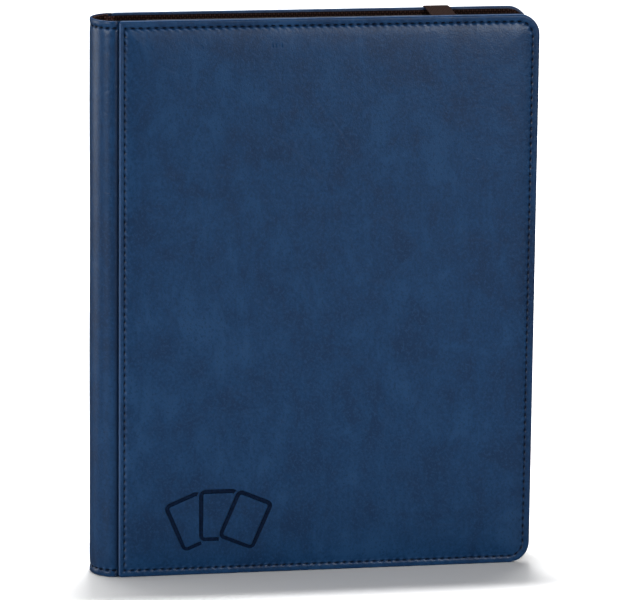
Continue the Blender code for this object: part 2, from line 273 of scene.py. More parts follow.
def thread_material():
    """Dark navy twisted thread."""
    n = Nodes("navy_thread")
    x, y, z = n.axes()
    twist = n.wave(n.math("ADD", n.math("ADD", x, z), n.math("MULTIPLY", y, 0.6)), 0.55 * MM)
    color = n.mix(n.span(twist, -1, 1), (0.0002, 0.0008, 0.0045), (0.0010, 0.0035, 0.0130))
    n.set(Base_Color=color, Normal=n.bump(twist, 0.06 * MM, 0.7), Roughness=0.7, Specular_IOR_Level=0.15)
    return n.material


def woven_material(name, dark, light, pitch, across="xz"):
    """A plain weave of threads along two of the axes."""
    n = Nodes(name)
    axes = dict(zip("xyz", n.axes()))
    first, second = (n.wave(axes[axis], 2 * pitch) for axis in across)
    threads = n.math("MULTIPLY", n.math("ABSOLUTE", first), n.math("ABSOLUTE", second))
    check = n.span(n.math("MULTIPLY", first, second), -0.25, 0.25)
    height = n.math("ADD", threads, n.math("MULTIPLY", check, 0.45))
    height = n.math("MULTIPLY_ADD", n.noise(2600, 2, 0.6), 0.3, height)
    color = n.mix(n.span(height, 0.35, 1.45), dark, light)
    n.set(Base_Color=color, Normal=n.bump(height, 0.22 * MM, 0.8), Roughness=0.95, Specular_IOR_Level=0.05)
    return n.material


def elastic_material():
    """Knitted elastic: fine cords along its length, crossed by small stitches."""
    n = Nodes("dark_elastic")
    x, y, z = n.axes()
    stitches = n.math("MULTIPLY", n.wave(n.math("ADD", z, y), 1.1 * MM), 0.35)
    height = n.math("ADD", stitches, n.math("MULTIPLY", n.wave(x, 0.9 * MM), 0.5))
    height = n.math("MULTIPLY_ADD", n.noise(2200, 2, 0.6), 0.5, height)
    color = n.mix(n.span(height, -0.7, 1.1), (0.0075, 0.0042, 0.0036), (0.0240, 0.0150, 0.0130))
    n.set(Base_Color=color, Normal=n.bump(height, 0.14 * MM, 0.7), Roughness=0.95, Specular_IOR_Level=0.03)
    return n.material


def page_material():
    """Matt black backing sheet, very slightly mottled."""
    n = Nodes("black_page")
    mottle = n.noise(60, 4)
    color = n.mix(mottle, (0.0050, 0.0048, 0.0052), (0.0100, 0.0092, 0.0096))
    n.set(Base_Color=color, Normal=n.bump(mottle, 0.10 * MM, 0.3), Roughness=0.6, Specular_IOR_Level=0.25)
    return n.material


def film_material(name, alpha, roughness):
    """Clear pocket film. Its welds are the same film, frosted."""
    n = Nodes(name)
    n.set(Normal=n.bump(n.noise(14, 2, 0.5, 0.5), 1.2 * MM, 0.25))
    n.set(Roughness=n.span(n.noise(22, 3), 0.3, 0.7, roughness, roughness + 0.08))
    n.set(Base_Color=(0.26, 0.27, 0.29), Alpha=alpha, Specular_IOR_Level=0.6)
    return n.material


def board_material():
    n = Nodes("grey_board")
    fibres = n.noise(1, 4, 0.6, 0.4, n.scaled((700, 700, 90)))
    color = n.mix(fibres, (0.20, 0.185, 0.16), (0.31, 0.29, 0.255))
    n.set(Base_Color=color, Normal=n.bump(fibres, 0.06 * MM, 0.6), Roughness=0.9)
    return n.material


def foam_material():
    n = Nodes("pale_foam")
    bubbles = n.cells(1300)
    color = n.mix(n.span(bubbles, 0.1, 0.7), (0.66, 0.64, 0.57), (0.40, 0.38, 0.33))
    n.set(Base_Color=color, Normal=n.bump(bubbles, 0.15 * MM, 0.8), Roughness=0.95)
    return n.material


# ---------------- mesh helpers


def smooth_step(t):
    t = min(max(t, 0.0), 1.0)
    return t * t * (3 - 2 * t)


def spread(start, end, count):
    """The values that part a stretch into this many equal steps."""
    return [start + (end - start) * k / count for k in range(count + 1)]


def finer(path, spacing):
    """A path of 2-D points with more of them between, about this far apart."""
    found = [path[0]]
    for (x0, y0), (x1, y1) in zip(path, path[1:]):
        steps = max(1, round(math.hypot(x1 - x0, y1 - y0) / spacing))
        found += list(zip(spread(x0, x1, steps), spread(y0, y1, steps)))[1:]
    return found


def direction(path, k, closed=False):
    """The unit direction of a path of 2-D points at its point k."""
    before = path[k - 1] if closed or k else path[0]
    after = path[(k + 1) % len(path)] if closed or k + 1 < len(path) else path[-1]
    return Vector((after[0] - before[0], after[1] - before[1])).normalized()


def add_mesh(name, points, faces, materials, kinds=None):
    """A smooth mesh object from points and faces. kinds gives each face's place in materials."""
    mesh = bpy.data.meshes.new(name)
    mesh.from_pydata([tuple(p) for p in points], [], faces)
    bm = bmesh.new()
    bm.from_mesh(mesh)
    bmesh.ops.recalc_face_normals(bm, faces=bm.faces)
    for k, face in enumerate(bm.faces):
        face.smooth = True
        face.material_index = kinds[k] if kinds else 0
    bm.to_mesh(mesh)
    bm.free()
    for material in materials:
        mesh.materials.append(material)
    made = bpy.data.objects.new(name, mesh)
    bpy.context.scene.collection.objects.link(made)
    return made


def sharpen(piece):
    piece.data.set_sharp_from_angle(angle=math.radians(35))
    return piece


def keep_painted_light(piece, tones):
    """Stores painted light and shade at each point, which the leatherette reads."""
    attribute = piece.data.attributes.new("wear", "FLOAT", "POINT")
    attribute.data.foreach_set("value", np.array(tones, np.float32))
    return piece


def keep_rest(piece):
    """Stores each point's place at rest, which the materials read."""
    mesh = piece.data
    attribute = mesh.attributes.new("rest", "FLOAT_VECTOR", "POINT")
    places = np.zeros(len(mesh.vertices) * 3, np.float32)
    mesh.vertices.foreach_get("co", places)
    attribute.data.foreach_set("vector", places)


def place(piece, replaced, body=None, blend=None):
    """Finishes a piece: it stands for CAD nodes, and rides on a body, or, given a blend, keeps its place with
    its transform baked in.
    """
    keep_rest(piece)
    if replaced:
        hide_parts(*replaced)
    if blend:
        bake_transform(piece)
    else:
        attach(piece, body)


def strip_faces(first, second, count):
    """Quads between two closed rows of count points that start at these numbers."""
    return [(first + i, first + (i + 1) % count, second + (i + 1) % count, second + i) for i in range(count)]


def loft(rows, closed=False, onto=None):
    """Adds to onto the points and faces of a body through equal rows of points, closed on itself or capped."""
    points, faces = onto or ([], [])
    start, size, count = len(points), len(rows[0]), len(rows)
    points += [point for row in rows for point in row]
    for k in range(count if closed else count - 1):
        faces += strip_faces(start + k * size, start + (k + 1) % count * size, size)
    if not closed:
        last = start + (count - 1) * size
        faces += [tuple(range(start, start + size))[::-1], tuple(range(last, last + size))]
    return points, faces


def upright(outline, z0, z1, steps):
    """Points and faces of an upright body with this outline of (x, y), in even steps of height."""
    return loft([[(x, y, z) for x, y in outline] for z in spread(z0, z1, steps)])


def sweep(stations, profile, extra=lambda k, z, depth: 0):
    """Points and faces of a closed profile of (z, depth) carried along stations of (x, y, nx, ny). The normal
    points out of the outer face, and depth is measured against it. extra is added to a depth."""
    rows = []
    for k, (x, y, nx, ny) in enumerate(stations):
        depths = [(z, depth + extra(k, z, depth)) for z, depth in profile]
        rows.append([(x - nx * d, y - ny * d, z) for z, d in depths])
    return loft(rows)


# ---------------- cover leather


def arc(centre, radius, start, end, steps):
    """Points of a circle in a plane, from one angle in degrees to another."""
    angles = [math.radians(a) for a in spread(start, end, steps)]
    return [(centre[0] + radius * math.cos(a), centre[1] + radius * math.sin(a)) for a in angles]


FORE_ARC, FOLD_ARC = 16, 4
LONG_STEPS, FORE_STEPS, FOLD_STEPS = 320, 424, 432
FOLD_CORNER = 1.6 * MM
LEAST_FORE, LEAST_FOLD = 0.8 * MM, 0.5 * MM
GATHER = 4


def fold_inset(inset):
    """The seam runs nearer to the edge beside the fold than on the other three sides."""
    share = FOLD_SEAM_INSET / SEAM_INSET
    return inset * share if inset < SEAM_INSET else inset - (SEAM_INSET - FOLD_SEAM_INSET)


def cover_ring(inset):
    """Points (x, z) round a cover at an inset: bottom, fore edge, top, then down the fold."""
    left, right = FOLD_X + fold_inset(inset), FORE_X - inset
    low, high = inset, HEIGHT - inset
    fore = max(CORNER_RADIUS - inset, LEAST_FORE)
    fold = max(FOLD_CORNER - inset, LEAST_FOLD)
    arcs = [
        arc((left + fold, low + fold), fold, 180, 270, FOLD_ARC),
        arc((right - fore, low + fore), fore, 270, 360, FORE_ARC),
        arc((right - fore, high - fore), fore, 0, 90, FORE_ARC),
        arc((left + fold, high - fold), fold, 90, 180, FOLD_ARC),
    ]
    points = []
    for k, steps in enumerate((LONG_STEPS, FORE_STEPS, LONG_STEPS, FOLD_STEPS)):
        (x0, z0), (x1, z1) = arcs[k][-1], arcs[(k + 1) % 4][0]
        shares = [i / steps for i in range(1, steps)]
        points += arcs[k] + [(x0 * (1 - t) + x1 * t, z0 * (1 - t) + z1 * t) for t in shares]
    return np.array(points)


OUTER_RUN_EXTRA, INNER_RUN_EXTRA = FOLD_SEAM_INSET - 0.9 * MM, -1.6 * MM


def stitch_mark(stitches):
    """1 under the middle of a stitch and 0 between two, at a distance along a seam measured in stitches."""
    return np.clip(0.55 - 0.85 * np.cos(2 * math.pi * stitches), 0, 1)


def seam_layout():
    """The two runs of stitches on a cover, and how far each ring point lies under a stitch, from 0 to 1. One
    goes round three sides and on to the fold's edge, and the other one along the fold, between its ends."""
    ring = cover_ring(SEAM_INSET)
    turn = FOLD_ARC // 2
    fold_start = len(ring) - FOLD_STEPS - turn
    outer = list(range(turn, fold_start + 1))
    inner = list(range(fold_start, len(ring))) + list(range(turn + 1))
    marks = np.zeros(len(ring))
    runs = []
    for indices, extra in ((outer, OUTER_RUN_EXTRA), (inner, INNER_RUN_EXTRA)):
        lengths = np.linalg.norm(np.diff(ring[indices], axis=0), axis=1)
        distance = np.concatenate([[0.0], np.cumsum(lengths)]) + extra
        length = distance[-1] + extra
        count = round(length / STITCH_PITCH)
        pitch = length / count
        marks[indices] = stitch_mark(distance / pitch)
        runs.append((ring[indices], distance, pitch, count))
    return runs, marks


def seam_points(run):
    """Middle (x, z) and direction of each stitch of a run."""
    ring, distance, pitch, count = run
    found = []
    for k in range(count):
        s = (k + 0.5) * pitch
        ends = []
        for t in (s - 0.2 * MM, s + 0.2 * MM):
            i = int(np.clip(np.searchsorted(distance, t) - 1, 0, len(ring) - 2))
            share = (t - distance[i]) / (distance[i + 1] - distance[i])
            ends.append(ring[i] + (ring[i + 1] - ring[i]) * share)
        along = (ends[1] - ends[0]) / np.linalg.norm(ends[1] - ends[0])
        found.append(((ends[0] + ends[1]) / 2, along))
    return found


def fade(distance, reach):
    """1 at no distance, falling off as a bell within about the reach."""
    return math.exp(-((distance / reach) ** 2))


VALLEY_DEPTH, BORDER_RISE, EDGE_ROUND = 1.60, 0.62, 1.2
TURNED_DEPTH = 2.6
FACE_DEPTH = 2.45 * MM
QUIET_RELIEF = 0.45
# Painted shade along the fore edge: how dark at the edge, and how far in it fades.
FORE_SHADE, FORE_SHADE_REACH = 0.22, 16 * MM


def face_depth(inset):
    """How deep the outer face lies at an inset: a domed border, a sewn valley and the swell of the pad."""
    d, seam = inset / MM, SEAM_INSET / MM
    if d >= seam:
        return (0.50 * math.exp(-(d - seam) / 1.6) + 1.10 * math.exp(-(d - seam) / 8.0)) * MM
    depth = VALLEY_DEPTH - BORDER_RISE * (1 - math.exp(-(seam - d) / 0.7))
    if d < EDGE_ROUND:
        depth += EDGE_ROUND - math.sqrt(EDGE_ROUND**2 - (EDGE_ROUND - d) ** 2)
    return depth * MM


def seam_relief(z):
    """How deep the puckers are, against those of the top edge's seam, which is drawn in the hardest."""
    return 1.0 if z > HEIGHT - CORNER_RADIUS else QUIET_RELIEF


def pucker(inset, mark, relief):
    """How far the leather is drawn in under a stitch, less how far it swells between two stitches."""
    d = (inset - SEAM_INSET) / MM
    drawn = 0.55 * mark * fade(d, 0.8)
    swollen = 0.22 * (1 - mark) * fade(d - 0.9, 0.8)
    return (drawn - swollen) * relief * MM


def seam_painted_light(inset, mark, relief=1.0):
    """Painted light beside a seam: painted shade in the stitched trench, below 0, and painted highlights on
    the swellings between stitches and on the rounded rim, above 0.
    """
    d = (inset - SEAM_INSET) / MM
    trench_shade = -(0.25 + 0.65 * mark) * fade(d, 0.6)
    scallop_highlight = 0.60 * relief * (1 - mark) * fade(d - 1.0, 0.55)
    rim_highlight = 0.08 * fade(inset / MM, 0.9)
    return trench_shade + scallop_highlight + rim_highlight


def unevenness(x, z, seed):
    """Soft rise and fall of foam-backed leather, within about a tenth of a millimetre."""
    broad = noise.noise(Vector((x * 16, z * 13, seed)))
    fine = noise.noise(Vector((x * 48, z * 36, seed + 7)))
    return (0.13 * broad + 0.05 * fine) * MM


# Rings of a cover's leather in millimetres: how far in, and how deep where face_depth doesn't say it.
OUTER_INSETS = [0.0, 0.03, 0.10, 0.22, 0.40, 0.65, 0.95, 1.3, 1.8, 2.4, 2.9, 3.25, 3.55, 3.8, 4.0, 4.2]
OUTER_INSETS += [4.45, 4.8, 5.2, 5.7, 6.4, 7.4, 8.8, 10.6, 13.0, 16.0]
CROWN_INSETS = [19, 23, 28, 34, 41, 49, 58, 68, 78, 88, 98, 108, 116]
RIM = [(0.0, 2.5), (0.0, 3.2), (0.0, 3.8), (0.07, 4.15), (0.25, 4.45), (0.55, 4.64), (1.0, 4.7), (3.0, 4.7)]
INNER = [(3.0, 4.35), (1.15, 4.3), (1.1, 2.33), (7.6, 2.33), (8.4, 1.2)]


def ring_body(name, side, rows, material, shift=None, wear=None):
    """A closed body from rings round a cover, capped at both ends. rows hold (inset, depth, gathered), and a
    gathered ring has one point for every GATHER of a full one."""
    points, faces, starts, tones = [], [], [], []
    for inset, depth, gathered in rows:
        ring = cover_ring(inset * MM)
        step = GATHER if gathered else 1
        starts.append((len(points), len(ring) // step))
        for k in range(0, len(ring), step):
            x, z = ring[k]
            point = Vector((x, side * (HALF_THICKNESS - depth * MM), z))
            points.append(shift(point, k, inset * MM) if shift else point)
            if wear:
                tones.append(wear(k, x, inset * MM, depth))
    for first, second in zip(starts, starts[1:]):
        (a, count), (b, fewer) = sorted((first, second), key=lambda row: -row[1])
        if count == fewer:
            faces += strip_faces(a, b, count)
            continue
        for i in range(fewer):
            fan = [a + (i * GATHER + k) % count for k in range(GATHER + 1)]
            faces.append((*fan, b + (i + 1) % fewer, b + i))
    faces += [tuple(range(start, start + count)) for start, count in (starts[0], starts[-1])]
    body = add_mesh(name, points, faces, [material])
    return keep_painted_light(body, tones) if wear else body


def cover_leather(name, side, seed, marks):
    """The leather of a cover: crowned face, puckered seam valley, rounded edge turned in to the lining."""
    rows = [(inset, depth, True) for inset, depth in INNER[::-1]]
    rows += [(inset, depth, False) for inset, depth in RIM[::-1]]
    rows += [(inset, face_depth(inset * MM) / MM, False) for inset in OUTER_INSETS]
    rows += [(inset, face_depth(inset * MM) / MM, True) for inset in CROWN_INSETS]
    edge = cover_ring(0)
    at_fold = [x < FOLD_X + 0.1 * MM for x, _ in edge]
    relief = [seam_relief(z) for _, z in edge]

    def shift(point, k, inset):
        depth = HALF_THICKNESS - abs(point.y)
        if depth < FACE_DEPTH and depth <= face_depth(inset) + 1e-7:
            rise = 1 - math.exp(-max(inset - SEAM_INSET, 0) / (7 * MM))
            point.y -= side * (pucker(inset, marks[k], relief[k]) - unevenness(point.x, point.z, seed) * rise)
        if side > 0:
            reach = abs(point.x - STRAP_X) - STRAP_WIDTH / 2
            point.z = max(point.z, NOTCH_DEPTH * smooth_step((NOTCH_RAMP - reach) / NOTCH_RAMP))
        return point

    # Painted light on the face: a painted highlight along the fold's edge, painted shade towards the fore
    # edge, and the seam's painted light and shade.
    def wear(k, x, inset, depth):
        if depth > TURNED_DEPTH:
            return 0.0
        # Painted highlight along the rounded edge beside the fold.
        painted_highlight = fade(inset / MM, 0.8) if at_fold[k] else 0
        # Painted shade that deepens towards the fore edge.
        shade = FORE_SHADE * smooth_step(1 - (FORE_X - x) / FORE_SHADE_REACH)
        return seam_painted_light(inset, marks[k], relief[k]) + painted_highlight - shade

    return ring_body(name, side, rows, LEATHERETTE, shift, wear)


def cover_lining(name, side):
    """Woven cloth glued inside a cover, its edge rolled down on to the turned leather."""
    roll = [(0.1, 4.74), (0, 4.84), (0.06, 4.96), (0.25, 5.04)]
    rows = [(116, 4.74), (60, 4.74)] + [(LINING_INSET + extra, depth) for extra, depth in roll]
    rows += [(inset, 5.07) for inset in (2.0, 5, 12, 24, 40, 60, 80, 100, 116)]
    return ring_body(name, side, [(inset, depth, True) for inset, depth in rows], LINING)


def stitch(onto, middle, along, out):
    """Adds a stitch: a plump thread that rises from a needle hole, crosses the valley and dives again."""
    middle, along, out = Vector(middle), Vector(along).normalized(), Vector(out).normalized()
    slant = 0.16 + 0.12 * noise.noise(middle * 400)
    half = STITCH_LENGTH / 2 * (1 + 0.10 * noise.noise(middle * 300 + Vector((7, 7, 7))))
    along = (along + out.cross(along) * slant).normalized()
    across = out.cross(along)
    angles = spread(0, 2 * math.pi, 8)[:-1]
    rows = []
    for t in spread(-1, 1, 8):
        rise = 0.42 * MM * (1 - t * t) - 0.32 * MM
        size = STITCH_RADIUS * (1 - 0.45 * t**4)
        centre = middle + along * (t * half) + out * rise
        sides = [(across * (math.cos(a) * size), out * (math.sin(a) * size * 0.8)) for a in angles]
        rows.append([centre + beside + above for beside, above in sides])
    loft(rows, onto=onto)


VALLEY_BED, FOLD_BED = 0.26 * MM, -0.05 * MM


def seam_depth(x, z, side):
    """How deep the middle of a stitch lies: in the valley, in the fold's edge or over the strap's end."""
    at_strap = abs(x - STRAP_X) < STRAP_WIDTH / 2 + 0.6 * MM
    if side > 0 and at_strap and min(z, HEIGHT - z) < 5 * MM:
        return OVER_STRAP
    in_fold = x < FOLD_X + FOLD_SEAM_INSET - 0.3 * MM
    return face_depth(SEAM_INSET) + (FOLD_BED if in_fold else VALLEY_BED)


def cover_stitches(name, side, runs):
    seam = [], []
    for (x, z), (ax, az) in itertools.chain(*map(seam_points, runs)):
        middle = (x, side * (HALF_THICKNESS - seam_depth(x, z, side)), z)
        stitch(seam, middle, (ax, 0, az), (0, side, 0))
    return add_mesh(name, *seam, [THREAD])


# ---------------- the pressed card fan


CARD = (20 * MM, 28 * MM)
CARD_CORNER = 2.4 * MM
CARD_GAP = 1.9 * MM
FAN_PLACE = (-55 * MM, 21 * MM)
FAN_DROP = 26 * MM
FAN_ANGLES = (23, 0, -23)
GROOVE = [(1.55, -0.25), (1.12, 0.22), (0.88, 0.5)]  # half its width and its depth, in millimetres


def turned(point, angle):
    """A point (x, z) turned by degrees about the fan's centre, which lies below the cards."""
    cos, sin = math.cos(math.radians(angle)), math.sin(math.radians(angle))
    x, z = point[0], point[1] + FAN_DROP
    return x * cos - z * sin, x * sin + z * cos - FAN_DROP


def card_outline(angle):
    """Evenly spaced points (x, z) round a fanned card."""
    width, height = CARD
    points = []
    for side, up, start in ((1, 0, 270), (1, 1, 0), (-1, 1, 90), (-1, 0, 180)):
        centre = side * (width / 2 - CARD_CORNER), height - CARD_CORNER if up else CARD_CORNER
        points += arc(centre, CARD_CORNER, start, start + 90, 7)
    return [turned(point, angle) for point in finer(points + points[:1], 0.6 * MM)]


def on_card(point, angle):
    """Whether a point lies on a fanned card, or within the gap round it."""
    along, up = turned(point, -angle)
    return abs(along) < CARD[0] / 2 + CARD_GAP and -CARD_GAP < up < CARD[1] + CARD_GAP


def visible_runs(angle, in_front):
    """The stretches of a card's outline that the cards in front leave in view, and whether each is closed."""
    points = card_outline(angle)[:-1]
    shown = [not any(on_card(point, other) for other in in_front) for point in points]
    if all(shown):
        return [(points, True)]
    start = shown.index(False)
    pairs = list(zip(shown[start:] + shown[:start], points[start:] + points[:start]))
    groups = itertools.groupby(pairs, key=lambda pair: pair[0])
    runs = [[point for _, point in group] for seen, group in groups if seen]
    return [(run, False) for run in runs if len(run) > 3]


def press_card_fan(leather, side):
    """Presses three fanned card outlines into the padded face, with sloped walls."""
    press = [], []
    section = [(width * MM, side * (HALF_THICKNESS - depth * MM)) for width, depth in GROOVE]
    section += [(-width, y) for width, y in section[::-1]]
    for order, angle in enumerate(FAN_ANGLES):
        for run, closed in visible_runs(angle, FAN_ANGLES[order + 1 :]):
            rows = []
            for k, (x, z) in enumerate(run):
                along = direction(run, k, closed)
                px, pz = FAN_PLACE[0] + x, FAN_PLACE[1] + z
                rows.append([(px - along.y * width, y, pz + along.x * width) for width, y in section])
            loft(rows, closed, onto=press)
    cutter = add_mesh("card_fan_press", *press, [PRESSED])
    leather.data.materials.append(PRESSED)
    cut = leather.modifiers.new("card_fan", "BOOLEAN")
    cut.operation = "DIFFERENCE"
    cut.solver = "EXACT"
    cut.material_mode = "TRANSFER"
    cut.object = cutter
    evaluated = leather.evaluated_get(bpy.context.evaluated_depsgraph_get())
    pressed = bpy.data.meshes.new_from_object(evaluated)
    leather.modifiers.clear()
    leather.data = pressed
    cutter_mesh = cutter.data
    bpy.data.objects.remove(cutter)
    bpy.data.meshes.remove(cutter_mesh)
    sharpen_press(pressed)


def sharpen_press(mesh):
    """Sharp edges round the pressed grooves, so that the face beside them stays smoothly lit."""
    bm = bmesh.new()
    bm.from_mesh(mesh)
    for edge in bm.edges:
        kinds = {face.material_index for face in edge.link_faces}
        steep = len(edge.link_faces) == 2 and edge.calc_face_angle() > math.radians(30)
        if len(kinds) > 1 or (kinds == {1} and steep):
            edge.smooth = False
    bm.to_mesh(mesh)
    bm.free()


# ---------------- spine


spine_low, spine_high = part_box("spine_leather")
SPINE_REACH = FOLD_X - spine_low.x
SPINE_HALF = spine_high.y
SPINE_GAP = 0.5 * MM


def spine_stations(bed, gap, count):
    """Even stations (x, y, nx, ny) from the front crease to the back one, along half an ellipse that lies bed
    under the spine's outer face, and its length."""
    reach, half = SPINE_REACH - bed, SPINE_HALF - bed
    start = math.asin(gap / reach)
    fine = np.linspace(start, math.pi - start, 2001)
    xs, ys = FOLD_X - reach * np.sin(fine), -half * np.cos(fine)
    length = np.concatenate([[0], np.cumsum(np.hypot(np.diff(xs), np.diff(ys)))])
    angles = np.interp(np.linspace(0, length[-1], count), length, fine)
    stations = []
    for a in angles:
        nx, ny = -math.sin(a) / reach, -math.cos(a) / half
        size = math.hypot(nx, ny)
        stations.append((FOLD_X - reach * math.sin(a), -half * math.cos(a), nx / size, ny / size))
    return stations, length[-1]


def mirrored_profile(outer, inner):
    """A closed (z, depth) profile from the lower half of its outer and inner faces, in millimetres."""
    outer, inner = ([(z * MM, d * MM) for z, d in face] for face in (outer, inner))
    up = outer + [(HEIGHT - z, d) for z, d in outer[::-1]]
    return up + [(HEIGHT - z, d) for z, d in inner] + inner[::-1]


SPINE_OUTER = [(0.0, 0.85), (0.05, 0.55), (0.2, 0.28), (0.5, 0.08), (1.0, 0.0), (1.8, 0.0), (2.6, 0.06)]
SPINE_OUTER += [(3.1, 0.16), (3.5, 0.32), (3.8, 0.46), (4.0, 0.50), (4.2, 0.46), (4.5, 0.32), (5.0, 0.16)]
SPINE_OUTER += [(5.8, 0.07), (7.5, 0.02), (11, 0), (18, 0), (30, 0), (50, 0), (75, 0), (100, 0), (130, 0)]
SPINE_INNER = [(0.05, 1.2), (0.25, 1.38), (0.7, 1.42), (1.2, 1.3), (1.36, 1.08), (12, 1.05), (100, 1.05)]
SPINE_STEPS = 75
STITCH_BED = 0.62 * MM


def spine_leather():
    """The spine, turned in at both ends and dipping in beside each cover, and the middles of its stitches."""
    stations, length = spine_stations(0, SPINE_GAP, SPINE_STEPS + 1)
    stitch_count = round(length / STITCH_PITCH)

    def station(k):
        """Distance from the nearer crease in mm, and how far the station lies under a stitch."""
        s = length * k / SPINE_STEPS
        return min(s, length - s) / MM, stitch_mark(stitch_count * s / length)

    def shape(k, z, depth):
        edge, mark = station(k)
        dip = 0.80 * math.exp(-edge / 1.2) + 0.12 * math.exp(-edge / 3.5)
        row = min(abs(z - SEAM_INSET), abs(HEIGHT - SEAM_INSET - z)) / MM
        drawn = 0.45 * mark * fade(row, 0.8) if depth < 0.7 * MM else 0
        inner = 1 if depth < 1.2 * MM else 0.4
        wave = noise.noise(Vector((length * k / SPINE_STEPS * 60, z * 14, 3.0))) * 0.22 * min(edge / 6, 1)
        return (dip * inner + drawn + wave) * MM

    profile = mirrored_profile(SPINE_OUTER, SPINE_INNER)
    leather = add_mesh("spine_leather_skin", *sweep(stations, profile, shape), [LEATHERETTE])
    tones = []
    for k in range(SPINE_STEPS + 1):
        edge, mark = station(k)
        # Painted shade in the groove beside each crease, on top of the seams' painted light and shade.
        groove_shade = 0.85 * fade(edge, 1.8)
        tones += [seam_painted_light(min(z, HEIGHT - z), mark) - groove_shade for z, _ in profile]
    middles, _ = spine_stations(STITCH_BED, SPINE_GAP, 2 * stitch_count + 1)
    return keep_painted_light(leather, tones), middles[1::2]


def spine_stitches(name, middles, z):
    row = [], []
    for x, y, nx, ny in middles:
        stitch(row, (x, y, z), (-ny, nx, 0), (nx, ny, 0))
    return add_mesh(name, *row, [THREAD])


SPINE_LINING_OUTER = [(0.62, 1.92), (0.66, 1.66), (0.85, 1.5), (1.28, 1.5), (1.34, 2.24), (8, 2.24)]
SPINE_LINING_OUTER += [(100, 2.24)]
SPINE_LINING_INNER = [(0.72, 2.3), (1.0, 2.6), (1.6, 2.72), (8, 2.74), (40, 2.74), (100, 2.74)]
LINING_START = 3.0 * MM
# The last value is the painted shade laid over the crease strips.
CREASE_THICKNESS, CREASE_INSET, CREASE_SHADE = 0.42 * MM, 0.15 * MM, -0.6
CLOTH_THICKNESS, RIBBON_TAPER = 0.24 * MM, 0.45


def spine_lining():
    """Cloth inside the spine, rolled over the ends of the board."""
    stations, _ = spine_stations(0, LINING_START, 44)
    profile = mirrored_profile(SPINE_LINING_OUTER, SPINE_LINING_INNER)
    return add_mesh("spine_lining_cloth", *sweep(stations, profile), [LINING])


def ribbon(name, path, thickness, z0, z1, material):
    """A thin upright strip: a path of (x, y) points given a thickness that thins out at both ends."""
    near, far = [], []
    for k, (x, y) in enumerate(path):
        along = direction(path, k)
        half = thickness / 2 * (RIBBON_TAPER if k in (0, len(path) - 1) else 1)
        near.append((x - along.y * half, y + along.x * half))
        far.append((x + along.y * half, y - along.x * half))
    return add_mesh(name, *upright(near + far[::-1], z0, z1, 24), [material])


def crease_path(points, side, steps=3):
    """A path of (x, y) points beside a crease. points hold distances from the fold and the middle, in mm."""
    path = points[:1]
    for (x0, y0), (x1, y1) in zip(points, points[1:]):
        path += list(zip(spread(x0, x1, steps), spread(y0, y1, steps)))[1:]
    return [(FOLD_X + x * MM, side * y * MM) for x, y in path]


CREASE_LEATHER = [(-2.8, 14.5), (-2.0, 14.62), (-1.0, 14.72), (-0.3, 14.74), (0.5, 14.74)]
HINGE_CLOTH = [(-4.6, 11.85), (-3.9, 12.15), (-3.1, 12.45), (-2.0, 12.62), (-0.5, 12.72), (1.0, 12.74)]
FRONT_CLOTH_END = [(2.2, 12.74), (3.4, 12.74)]


def crease_blend(side, spine_end, cover_end):
    """The two bodies at a crease, and the points (x from the fold, in mm) between which a piece turns."""
    start, end = (FOLD_X + spine_end * MM, 0, 0), (FOLD_X + cover_end * MM, 0, 0)
    if side < 0:
        return ("spine", "front_cover", start, end)
    return ("back_cover", "spine", end, start)


# ---------------- leaves


bound_low, bound_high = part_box("page_binding")
leaf_low, leaf_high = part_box("leaf_20")
LEAF_FORE, LEAF_Z0, LEAF_Z1 = leaf_high.x, leaf_low.z, leaf_high.z
SHEET, FILM_THICKNESS, TAPE, TAPE_GAP = 0.4 * MM, 0.1 * MM, 0.5 * MM, 0.02 * MM
LEAF_CORNER = 3.0 * MM
LEAF_BEND = (2.3 * MM, 3.0 * MM)

# The pockets, and the grid lines of a film in one of them, in millimetres.
POCKETS_X = FOLD_X + 19 * MM
COLUMNS = ROWS = 3
COLUMN, ROW = (LEAF_FORE - POCKETS_X) / COLUMNS, (LEAF_Z1 - LEAF_Z0) / ROWS
WELD_X, WELD_Z = (0.8, 69.07), (0.9, 103.1)
SLIT_X, SLIT_Z = (1.0, 2.0), (7.0, 97.0)
FINE_X = [0, WELD_X[0], *SLIT_X, 3.0, 6, 14, 25, 36, 47, 58, 64.5, 67.4, WELD_X[1]]
FINE_Z = [0, WELD_Z[0], 3.0, SLIT_Z[0], 12, 24, 38, 52, 66, 80, 92, SLIT_Z[1], 101, WELD_Z[1]]
COARSE_X, COARSE_Z = [0, WELD_X[0], 35, WELD_X[1]], [0, WELD_Z[0], 52, WELD_Z[1]]


def leaf_name(number):
    return f"leaf_{number:02d}"


def leaf_y(number):
    node = leaf_name(number) + ("_sheet" if number <= FRONT_LEAVES else "")
    low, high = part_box(node)
    return (low.y + high.y) / 2


def rounded_fore(x, z):
    """Rounds off a leaf's two fore corners, by drawing a grid's points in to a quarter circle."""
    dx = x - (LEAF_FORE - LEAF_CORNER)
    middle, half = (LEAF_Z0 + LEAF_Z1) / 2, (LEAF_Z1 - LEAF_Z0) / 2
    dz = abs(z - middle) - (half - LEAF_CORNER)
    if dx <= 0 or dz <= 0:
        return x, z
    shrink = max(dx, dz) / math.hypot(dx, dz)
    sign = 1 if z > middle else -1
    return LEAF_FORE - LEAF_CORNER + dx * shrink, middle + sign * (half - LEAF_CORNER + dz * shrink)


